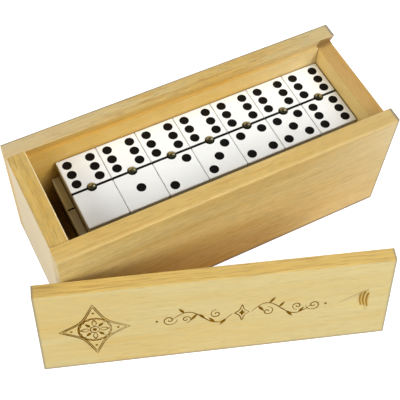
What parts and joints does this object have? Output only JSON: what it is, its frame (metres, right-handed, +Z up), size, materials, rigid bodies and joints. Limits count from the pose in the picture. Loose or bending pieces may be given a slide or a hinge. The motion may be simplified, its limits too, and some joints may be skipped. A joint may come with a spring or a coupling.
{
  "type": "domino storage box",
  "caption": "Open-topped wooden case with dovetail grooves, its sliding lid with a thumb notch leaning on it, holding stacked two-ply dominoes with brass pins.",
  "frame": {"origin": "centre of the case's underside, on the surface it stands on", "axes": "+X along the case to the low end, where the lid slides out, +Y to the back wall, +Z up"},
  "size_m": [0.2347, 0.1662, 0.0828],
  "materials": {
    "pine": "matt, unfinished",
    "white_plate": "polished",
    "black_plate": "polished",
    "brass": "polished"
  },
  "bodies": {
    "case": {"bottom_panel": "pine", "front_wall": "pine", "back_wall": "pine", "closed_end": "pine", "open_end": "pine"},
    "lid": {"lid": "pine"},
    "tile_6_0": {"face_6_0": "white_plate", "back_6_0": "black_plate", "pin_6_0": "brass"},
    "tile_6_1": {"face_6_1": "white_plate", "back_6_1": "black_plate", "pin_6_1": "brass"},
    "tile_6_2": {"face_6_2": "white_plate", "back_6_2": "black_plate", "pin_6_2": "brass"},
    "tile_6_3": {"face_6_3": "white_plate", "back_6_3": "black_plate", "pin_6_3": "brass"},
    "tile_6_4": {"face_6_4": "white_plate", "back_6_4": "black_plate", "pin_6_4": "brass"},
    "tile_6_5": {"face_6_5": "white_plate", "back_6_5": "black_plate", "pin_6_5": "brass"},
    "tile_6_6": {"face_6_6": "white_plate", "back_6_6": "black_plate", "pin_6_6": "brass"},
    "tile_0_0": {"domino_0_0": "white_plate"},
    "tile_1_0": {"domino_1_0": "white_plate"},
    "tile_1_1": {"domino_1_1": "white_plate"},
    "tile_2_0": {"domino_2_0": "white_plate"},
    "tile_2_1": {"domino_2_1": "white_plate"},
    "tile_2_2": {"domino_2_2": "white_plate"},
    "tile_3_0": {"domino_3_0": "white_plate"},
    "tile_3_1": {"domino_3_1": "white_plate"},
    "tile_3_2": {"domino_3_2": "white_plate"},
    "tile_3_3": {"domino_3_3": "white_plate"},
    "tile_4_0": {"domino_4_0": "white_plate"},
    "tile_4_1": {"domino_4_1": "white_plate"},
    "tile_4_2": {"domino_4_2": "white_plate"},
    "tile_4_3": {"domino_4_3": "white_plate"},
    "tile_4_4": {"domino_4_4": "white_plate"},
    "tile_5_0": {"domino_5_0": "white_plate"},
    "tile_5_1": {"domino_5_1": "white_plate"},
    "tile_5_2": {"domino_5_2": "white_plate"},
    "tile_5_3": {"domino_5_3": "white_plate"},
    "tile_5_4": {"domino_5_4": "white_plate"},
    "tile_5_5": {"domino_5_5": "white_plate"}
  },
  "joints": [
    {"name": "lid_lift", "type": "slide", "parent": "case", "child": "lid", "axis": [0, 0, 1], "range_m": [0, 0.09]},
    {"name": "tile_4_4_lift", "type": "slide", "parent": "case", "child": "tile_4_4", "axis": [0, 0, 1], "range_m": [0, 0.084]},
    {"name": "tile_3_1_lift", "type": "slide", "parent": "tile_4_4", "child": "tile_3_1", "axis": [0, 0, 1], "range_m": [0, 0.07]},
    {"name": "tile_0_0_lift", "type": "slide", "parent": "tile_3_1", "child": "tile_0_0", "axis": [0, 0, 1], "range_m": [0, 0.056]},
    {"name": "tile_6_0_lift", "type": "slide", "parent": "tile_0_0", "child": "tile_6_0", "axis": [0, 0, 1], "range_m": [0, 0.042]},
    {"name": "tile_5_0_lift", "type": "slide", "parent": "case", "child": "tile_5_0", "axis": [0, 0, 1], "range_m": [0, 0.084]},
    {"name": "tile_3_2_lift", "type": "slide", "parent": "tile_5_0", "child": "tile_3_2", "axis": [0, 0, 1], "range_m": [0, 0.07]},
    {"name": "tile_1_0_lift", "type": "slide", "parent": "tile_3_2", "child": "tile_1_0", "axis": [0, 0, 1], "range_m": [0, 0.056]},
    {"name": "tile_6_1_lift", "type": "slide", "parent": "tile_1_0", "child": "tile_6_1", "axis": [0, 0, 1], "range_m": [0, 0.042]},
    {"name": "tile_5_1_lift", "type": "slide", "parent": "case", "child": "tile_5_1", "axis": [0, 0, 1], "range_m": [0, 0.084]},
    {"name": "tile_3_3_lift", "type": "slide", "parent": "tile_5_1", "child": "tile_3_3", "axis": [0, 0, 1], "range_m": [0, 0.07]},
    {"name": "tile_1_1_lift", "type": "slide", "parent": "tile_3_3", "child": "tile_1_1", "axis": [0, 0, 1], "range_m": [0, 0.056]},
    {"name": "tile_6_2_lift", "type": "slide", "parent": "tile_1_1", "child": "tile_6_2", "axis": [0, 0, 1], "range_m": [0, 0.042]},
    {"name": "tile_5_2_lift", "type": "slide", "parent": "case", "child": "tile_5_2", "axis": [0, 0, 1], "range_m": [0, 0.084]},
    {"name": "tile_4_0_lift", "type": "slide", "parent": "tile_5_2", "child": "tile_4_0", "axis": [0, 0, 1], "range_m": [0, 0.07]},
    {"name": "tile_2_0_lift", "type": "slide", "parent": "tile_4_0", "child": "tile_2_0", "axis": [0, 0, 1], "range_m": [0, 0.056]},
    {"name": "tile_6_3_lift", "type": "slide", "parent": "tile_2_0", "child": "tile_6_3", "axis": [0, 0, 1], "range_m": [0, 0.042]},
    {"name": "tile_5_3_lift", "type": "slide", "parent": "case", "child": "tile_5_3", "axis": [0, 0, 1], "range_m": [0, 0.084]},
    {"name": "tile_4_1_lift", "type": "slide", "parent": "tile_5_3", "child": "tile_4_1", "axis": [0, 0, 1], "range_m": [0, 0.07]},
    {"name": "tile_2_1_lift", "type": "slide", "parent": "tile_4_1", "child": "tile_2_1", "axis": [0, 0, 1], "range_m": [0, 0.056]},
    {"name": "tile_6_4_lift", "type": "slide", "parent": "tile_2_1", "child": "tile_6_4", "axis": [0, 0, 1], "range_m": [0, 0.042]},
    {"name": "tile_5_4_lift", "type": "slide", "parent": "case", "child": "tile_5_4", "axis": [0, 0, 1], "range_m": [0, 0.084]},
    {"name": "tile_4_2_lift", "type": "slide", "parent": "tile_5_4", "child": "tile_4_2", "axis": [0, 0, 1], "range_m": [0, 0.07]},
    {"name": "tile_2_2_lift", "type": "slide", "parent": "tile_4_2", "child": "tile_2_2", "axis": [0, 0, 1], "range_m": [0, 0.056]},
    {"name": "tile_6_5_lift", "type": "slide", "parent": "tile_2_2", "child": "tile_6_5", "axis": [0, 0, 1], "range_m": [0, 0.042]},
    {"name": "tile_5_5_lift", "type": "slide", "parent": "case", "child": "tile_5_5", "axis": [0, 0, 1], "range_m": [0, 0.084]},
    {"name": "tile_4_3_lift", "type": "slide", "parent": "tile_5_5", "child": "tile_4_3", "axis": [0, 0, 1], "range_m": [0, 0.07]},
    {"name": "tile_3_0_lift", "type": "slide", "parent": "tile_4_3", "child": "tile_3_0", "axis": [0, 0, 1], "range_m": [0, 0.056]},
    {"name": "tile_6_6_lift", "type": "slide", "parent": "tile_3_0", "child": "tile_6_6", "axis": [0, 0, 1], "range_m": [0, 0.042]}
  ]
}
